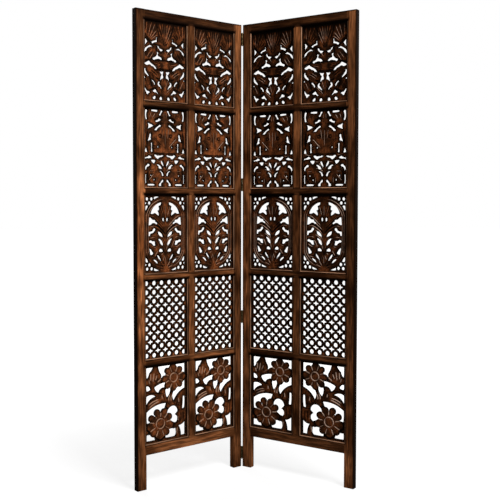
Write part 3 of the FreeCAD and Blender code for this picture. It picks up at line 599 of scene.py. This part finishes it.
def carve(points, strokes, rings, finish, lit_lean_side):
    """How deep the tools have gone at each point of a board's face, and its tone.

    The tone is 0 in a cut and beside a hole, where shade is painted, 0.5 on an open face and 1 where a high
    line is rubbed and painted with a highlight. Lines that lean one way get more painted highlight than those
    that lean the other, mirrored between the leaves as the light falls.
    """
    edge_drop, edge_shade, head_shade, openness, wear_and_highlight = finish
    to_edge = edge_gaps(points, rings)
    depths = edge_drop * np.clip(1 - to_edge / edge_round, 0, 1)
    room = np.full(len(points), deepest_cut)
    rubbed_and_lit = np.zeros(len(points))
    for kind, stroke in strokes:
        half, depth = cut_shapes[kind]
        reached = (points > stroke.min(axis=0) - half) & (points < stroke.max(axis=0) + half)
        near = np.flatnonzero(reached.all(axis=1))
        if not len(near):
            continue
        gap, part, lean = along_stroke(points[near], stroke)
        if kind in ridge_shapes:
            ridge_half, ridge_top = ridge_shapes[kind]
            taper = np.ones(len(near))
            if not np.allclose(stroke[0], stroke[-1]):
                taper = np.clip(part / ridge_start_share, 0, 1) * np.clip((1 - part) / ridge_end_share, 0, 1)
            cut = depth * taper * np.clip(1 - np.abs(gap - ridge_half) / ridge_half, 0, 1)
            room[near] = np.minimum(room[near], deepest_cut * np.clip(gap / ridge_half + 1 - taper, 0, 1))
            rub = taper * np.minimum(wear_and_highlight * (upright_wear_and_highlight + lean_highlight * lit_lean_side * lean), 1)
            rubbed_and_lit[near] = np.maximum(rubbed_and_lit[near], rub * np.clip(top_softness - gap / ridge_top, 0, 1))
        else:
            taper = np.sqrt(np.sin(math.pi * (blunt_share + (1 - 2 * blunt_share) * part)))
            cut = depth * taper * np.clip(cut_steepness * (1 - gap / half), 0, 1)
        depths[near] = np.maximum(depths[near], cut)
    depths = np.minimum(depths, room)
    # Painted shade: dark in a rim round each hole and less so over the open face past it, dark beside the
    # stiles and under the head of the opening as the frame's shadow, and darker the deeper a cut goes.
    rim = np.clip(to_edge / edge_shade, 0, 1)
    past_rim = np.clip((to_edge - edge_shade) / open_face, 0, 1)
    shade = rim_tone * rim + (1 - rim_tone) * past_rim
    to_side = opening_width / 2 - np.abs(points[:, 0])
    to_head = opening_height - points[:, 1]
    frame_shade = np.clip(np.minimum(to_side / side_shade, to_head / head_shade), 0, 1)
    uncut = 1 - np.clip(depths / dark_depth, 0, 1)
    tones = open_tone * openness * np.minimum(np.minimum(shade, frame_shade), uncut)
    return depths, np.maximum(tones, open_tone * (rubbed_and_lit > 0) + (1 - open_tone) * rubbed_and_lit)


def left_of(runs):
    """Unit steps to the left of each run."""
    lengths = np.maximum(np.linalg.norm(runs, axis=1), tiny)
    return np.stack([-runs[:, 1], runs[:, 0]], axis=1) / lengths[:, None]


def carving_points(rings, strokes):
    """Points of a board's face: along its outlines, along the strokes, and a loose net between them."""
    row_room = 0.45 * stroke_step
    net_room = 0.5 * net_step
    rows = [(stroke + left_of(np.gradient(stroke, axis=0)) * offset, row_room)
            for kind, stroke in strokes for offset in row_offsets[kind]]
    for ring in rings[1:]:
        runs = np.roll(ring, -1, axis=0) - np.roll(ring, 1, axis=0)
        rows.append((ring + left_of(runs) * edge_row, row_room))
    low = rings[0].min(axis=0)
    high = rings[0].max(axis=0)
    for number, z in enumerate(np.arange(low[1], high[1], net_step * math.sqrt(0.75))):
        line = np.arange(low[0] + (number % 2) * net_step / 2, high[0], net_step)
        rows.append((np.stack([line, np.full(len(line), z)], axis=1), net_room))
    kept = []
    cells = {}

    def keep(point):
        kept.append(point)
        cells.setdefault((int(point[0] // saw_step), int(point[1] // saw_step)), []).append(point)

    for point in np.concatenate(rings):
        keep(tuple(point))
    for row, room in rows:
        for x, z in row[((row > low) & (row < high)).all(axis=1)]:
            column, level = int(x // saw_step), int(z // saw_step)
            others = [other for dx in (-1, 0, 1) for dz in (-1, 0, 1)
                      for other in cells.get((column + dx, level + dz), ())]
            if all((x - other[0]) ** 2 + (z - other[1]) ** 2 > room ** 2 for other in others):
                keep((x, z))
    return kept


def inside_any(points, rings):
    """Which points lie in one of the holes, by counting the sides to the right of each point."""
    inside = np.zeros(len(points), bool)
    for ring in rings:
        near = np.flatnonzero(((points > ring.min(axis=0)) & (points < ring.max(axis=0))).all(axis=1))
        x, z = points[near].T[..., None]
        here = ring.T[:, None]
        there = np.roll(ring, -1, axis=0).T[:, None]
        spans = (here[1] > z) != (there[1] > z)
        rise = np.where(spans, there[1] - here[1], 1.0)
        crossing = here[0] + (z - here[1]) / rise * (there[0] - here[0])
        inside[near] |= (spans & (crossing > x)).sum(axis=1) % 2 == 1
    return inside


def carved_board(name, rings, strokes, finish, lit_lean_side):
    """A closed board, pierced and carved on both faces, about the middle of its sill."""
    rings = [evenly(ring, saw_step) for ring in rings]
    points = carving_points(rings, strokes)
    edges = []
    first = 0
    for ring in rings:
        edges += [(first + step, first + (step + 1) % len(ring)) for step in range(len(ring))]
        first += len(ring)
    found = geometry.delaunay_2d_cdt([Vector(point) for point in points], edges, [], 0, merge_gap, False)
    flat = np.array(found[0])
    faces = np.array(found[2])
    faces = faces[~inside_any(flat[faces].mean(axis=1), rings[1:])]
    used, faces = np.unique(faces, return_inverse=True)
    faces = faces.reshape(-1, 3)
    flat = flat[used]
    depths, tones = carve(flat, strokes, rings[1:], finish, lit_lean_side)
    count = len(flat)
    front = np.stack([flat[:, 0], depths, flat[:, 1]], axis=1)
    back = np.stack([flat[:, 0], insert_thickness - depths, flat[:, 1]], axis=1)
    directed = {tuple(edge) for corners in ([0, 1], [1, 2], [2, 0]) for edge in faces[:, corners].tolist()}
    rim = sorted(edge for edge in directed if edge[::-1] not in directed)
    walls = [(there, here, here + count, there + count) for here, there in rim]
    mesh = bpy.data.meshes.new(name)
    mesh.from_pydata(np.concatenate([front, back]).tolist(), [],
                     faces.tolist() + (faces[:, ::-1] + count).tolist() + walls)
    # The walls of the holes get tone 0, painted dark as shade.
    corner_tones = np.concatenate([tones[faces].ravel(), tones[faces[:, ::-1]].ravel(),
                                   np.zeros(4 * len(walls))])
    tone = mesh.attributes.new("tone", "FLOAT", "CORNER")
    tone.data.foreach_set("value", corner_tones.astype(np.float32))
    return mesh


# The cuts and the rims round the holes are painted dark as shade; the faces are stained in random patches.
cut_shade_black = (0.004, 0.002, 0.001, 1)
rim_shade_dark = (0.022, 0.008, 0.003, 1)
rim_shade_warm = (0.075, 0.023, 0.008, 1)
dark_face = (0.070, 0.024, 0.009, 1)
warm_face = (0.31, 0.088, 0.026, 1)
# Each leaf has its own colour of painted highlight on the rubbed lines.
rubbed_and_lit_lines = {"left": (0.48, 0.28, 0.18, 1), "right": (0.66, 0.45, 0.34, 1)}
# The left leaf's carving is painted lighter and the right's darker, as lit and shaded copies.
leaf_shade_levels = {"left": 1.15, "right": 0.80}
patch_scale = 34.0
patch_low = 0.36
patch_high = 0.64
mark_scale = 160.0
stain_detail = 3.0
carving_streaks = 0.45
carving_marks = 0.50
carving_roughness = 0.62
rubbed_polish = -0.2
carving_bump = 0.3

# The tones between which a cut in painted shade turns to its rim, a rim to the open face, and a face to a
# polished line with painted highlight.
cut_tones = (0.04, 0.30)
face_tones = (0.30, 0.48)
rubbed_and_lit_tones = (0.55, 0.95)
polish_tones = (0.3, 0.8)


def carved_wood(leaf):
    """Stained carving: painted near black as shade in the cuts, red brown on the faces, tan where high lines
    are rubbed and painted as highlight.
    """
    material = bpy.data.materials.new(f"{leaf}_carving")
    material.use_nodes = True
    tree = material.node_tree
    shader = tree.nodes["Principled BSDF"]
    tone = add(tree, "ShaderNodeAttribute", attribute_name="tone").outputs["Fac"]
    coordinates = add(tree, "ShaderNodeTexCoord").outputs["Object"]
    grain = add(tree, "ShaderNodeGroup", node_tree=wood_grain)
    tree.links.new(coordinates, grain.inputs["Place"])
    patches = ramp(tree, noise(tree, coordinates, patch_scale, stain_detail), patch_low, patch_high)
    marks = ramp(tree, noise(tree, coordinates, mark_scale, stain_detail), noise_low, noise_high)
    rim = blend_colours(tree, patches, rim_shade_dark, rim_shade_warm)
    face = blend_colours(tree, patches, dark_face, warm_face)
    cut = blend_colours(tree, ramp(tree, tone, *cut_tones), cut_shade_black, rim)
    body = blend_colours(tree, ramp(tree, tone, *face_tones), cut, face)
    streaks = calculate(tree, "MULTIPLY", grain.outputs["Streak"], carving_streaks)
    streaked = blend_colours(tree, streaks, body, deep_stain_and_shade)
    marked = blend_colours(tree, calculate(tree, "MULTIPLY", marks, carving_marks), streaked, deep_stain_and_shade)
    # Each leaf's carving is painted lighter or darker here as light and shade.
    level = leaf_shade_levels[leaf]
    leaf_shaded = blend_colours(tree, 1.0, marked, (level, level, level, 1), "MULTIPLY")
    rubbed_and_lit = blend_colours(tree, ramp(tree, tone, *rubbed_and_lit_tones), leaf_shaded, rubbed_and_lit_lines[leaf])
    tree.links.new(rubbed_and_lit, shader.inputs["Base Color"])
    shader.inputs["Specular IOR Level"].default_value = wood_gloss
    polish = ramp(tree, tone, *polish_tones)
    roughness = calculate(tree, "MULTIPLY_ADD", polish, rubbed_polish, carving_roughness)
    tree.links.new(roughness, shader.inputs["Roughness"])
    bump = add(tree, "ShaderNodeBump", {"Strength": carving_bump, "Distance": grain_depth,
                                        "Height": grain.outputs["Streak"]})
    tree.links.new(bump.outputs[0], shader.inputs["Normal"])
    return material


carving_woods = {leaf: carved_wood(leaf) for leaf in leaf_sides}

# From the top row down. A finish is the depth rounded off beside a hole, the widths of the painted shade
# there and under the head of the opening, and the shares of open tone and of wear with painted highlight.
designs = [("leaf_spray", leaf_spray_strokes(), (0.0012, 0.0040, 0.040, 0.86, 0.54)),
           ("palmette", palmette_strokes(), (0.0012, 0.0050, 0.012, 1.0, 0.75)),
           ("oval_plant", oval_plant_strokes(), (0.0012, 0.0045, 0.012, 0.93, 0.80)),
           ("star_lattice", [], (0.0018, 0.0020, 0.012, 1.0, 1.0)),
           ("daisy", daisy_strokes(), (0.0012, 0.0030, 0.012, 0.93, 1.7))]
column_places = {"inner": pin_setback + stile_width + opening_width / 2,
                 "outer": pin_setback + stile_width + muntin_width + opening_width * 3 / 2}

# One insert is fixed with its carving the other way round. Otherwise the boards of one design are alike in
# each leaf, so one is carved and copied.
turned_insert = "right_daisy_outer"
boards = {}
for row, (design, strokes, finish) in enumerate(designs):
    sill = lowest_sill + (row_count - 1 - row) * row_pitch
    for leaf, side in leaf_sides.items():
        for column, across in column_places.items():
            node_name = f"{leaf}_{design}_{column}"
            sill_middle = Vector((side * across, pin_stand + insert_depth, sill))
            turned = node_name == turned_insert
            if (design, leaf, turned) not in boards:
                rings = insert_outlines(node_name, leaf, sill_middle)
                kept = mirrored(strokes) if turned else strokes
                boards[design, leaf, turned] = carved_board(f"{design}_board", rings, kept, finish, -side)
            mesh = boards[design, leaf, turned].copy()
            mesh.transform(leaf_matrices[leaf] @ Matrix.Translation(sill_middle))
            mesh.materials.append(carving_woods[leaf])
            carving = bpy.data.objects.new(f"{node_name}_carving", mesh)
            bpy.context.scene.collection.objects.link(carving)
            bpy.ops.object.select_all(action="DESELECT")
            carving.select_set(True)
            bpy.context.view_layer.objects.active = carving
            bpy.ops.object.shade_smooth_by_angle(angle=crease_angle)
            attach(carving, f"{leaf}_leaf")
            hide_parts(node_name)
for board in boards.values():
    bpy.data.meshes.remove(board)

# Hinges
# Four butt hinges of brass sheet, gone dull and dark, join the inner stiles. Their plates are screwed to the
# stile edges and rolled into knuckles, which turn on a brass pin with a small round head at each end.
plate_gold = (0.20, 0.145, 0.065, 1)
screw_gold = (0.28, 0.21, 0.10, 1)
plate_roughness = 0.40
screw_roughness = 0.36
tarnish_brown = (0.022, 0.017, 0.010, 1)
tarnish_roughness = 0.25
tarnish_scale = 240.0
tarnish_detail = 5.0


def aged_brass(name, clean, roughness):
    """Brass that shows between patches of dull tarnish."""
    material = bpy.data.materials.new(name)
    material.use_nodes = True
    tree = material.node_tree
    shader = tree.nodes["Principled BSDF"]
    coordinates = add(tree, "ShaderNodeTexCoord").outputs["Object"]
    tarnish = ramp(tree, noise(tree, coordinates, tarnish_scale, tarnish_detail), noise_low, noise_high)
    tree.links.new(blend_colours(tree, tarnish, clean, tarnish_brown), shader.inputs["Base Color"])
    shader.inputs["Metallic"].default_value = 1.0
    dulled = calculate(tree, "MULTIPLY_ADD", tarnish, tarnish_roughness, roughness)
    tree.links.new(dulled, shader.inputs["Roughness"])
    return material


hinge_brass = aged_brass("hinge_brass", plate_gold, plate_roughness)
screw_brass = aged_brass("screw_brass", screw_gold, screw_roughness)
for name, fitting in frame["nodes"].items():
    if "hinge_plate" in name or "hinge_pin" in name:
        fitting.material_slots[0].material = hinge_brass
    if "hinge_screws" in name:
        fitting.material_slots[0].material = screw_brass

# Studio floor
# A plain pale floor under the screen. It keeps the screen's soft shadow near the feet, and runs out into the
# white background.
floor_size = 60.0
floor_grey = (0.28, 0.28, 0.28, 1)
near_white = 0.78
white_from = 0.5
white_by = 2.0
bpy.ops.object.select_all(action="DESELECT")
bpy.ops.mesh.primitive_plane_add(size=floor_size)
floor = bpy.context.object
floor.name = "floor"
floor_paint = bpy.data.materials.new("floor_paint")
floor_paint.use_nodes = True
floor_tree = floor_paint.node_tree
floor_tree.nodes.clear()
seen = add(floor_tree, "ShaderNodeLightPath").outputs["Is Camera Ray"]
floor_place = add(floor_tree, "ShaderNodeTexCoord").outputs["Object"]
away = add(floor_tree, "ShaderNodeVectorMath", {0: floor_place}, operation="LENGTH").outputs["Value"]
whiteness = calculate(floor_tree, "MULTIPLY_ADD", ramp(floor_tree, away, white_from, white_by),
                      1 - near_white, near_white)
matt = add(floor_tree, "ShaderNodeBsdfDiffuse", {"Color": floor_grey})
glow = add(floor_tree, "ShaderNodeEmission", {"Color": (1, 1, 1, 1),
                                              "Strength": calculate(floor_tree, "MULTIPLY", seen, whiteness)})
lit = add(floor_tree, "ShaderNodeAddShader", {0: matt.outputs[0], 1: glow.outputs[0]})
add(floor_tree, "ShaderNodeOutputMaterial", {"Surface": lit.outputs[0]})
floor.data.materials.append(floor_paint)

# Studio light
# One broad soft lamp in front and above, a little to the right, and a weaker one behind. The surroundings are
# white to the eye and in reflections, and give a little even light.
screen_middle = Vector((0, 0, leaf_height / 2))
world_light = 0.15


def soft_lamp(name, place, size, power):
    """A square lamp that is aimed at the middle of the screen."""
    lamp = bpy.data.lights.new(name, "AREA")
    lamp.shape = "SQUARE"
    lamp.size = size
    lamp.energy = power
    holder = bpy.data.objects.new(name, lamp)
    holder.location = place
    holder.rotation_euler = (screen_middle - Vector(place)).to_track_quat("-Z", "Y").to_euler()
    bpy.context.scene.collection.objects.link(holder)


soft_lamp("key_lamp", place=(1.6, -2.3, 3.9), size=1.6, power=185)
soft_lamp("fill_lamp", place=(-1.4, 2.8, 2.6), size=2.0, power=60)
world = bpy.data.worlds.new("studio")
bpy.context.scene.world = world
world.use_nodes = True
world_tree = world.node_tree
world_tree.nodes.clear()
path = add(world_tree, "ShaderNodeLightPath").outputs
reflected = calculate(world_tree, "MAXIMUM", path["Is Glossy Ray"], path["Is Transmission Ray"])
direct = calculate(world_tree, "MAXIMUM", path["Is Camera Ray"], reflected)
strength = calculate(world_tree, "MULTIPLY_ADD", direct, 1 - world_light, world_light)
sky = add(world_tree, "ShaderNodeBackground", {"Color": (1, 1, 1, 1), "Strength": strength})
add(world_tree, "ShaderNodeOutputWorld", {"Surface": sky.outputs[0]})

# Camera
# A normal lens at chest height, a little left of the fold. It looks slightly down and to the right, almost
# straight at the fold.
camera_pitch = math.radians(2.633)
camera_yaw = math.radians(1.951)
camera = bpy.data.cameras.new("camera")
camera.lens = 59.94
camera.shift_x = 0.05
camera.shift_y = -0.02
camera_holder = bpy.data.objects.new("camera", camera)
camera_holder.location = (-0.1876, -3.3000, 1.1069)
camera_holder.rotation_euler = (math.pi / 2 - camera_pitch, 0, -camera_yaw)
bpy.context.scene.collection.objects.link(camera_holder)
bpy.context.scene.camera = camera_holder
bpy.context.scene.view_settings.view_transform = "Standard"
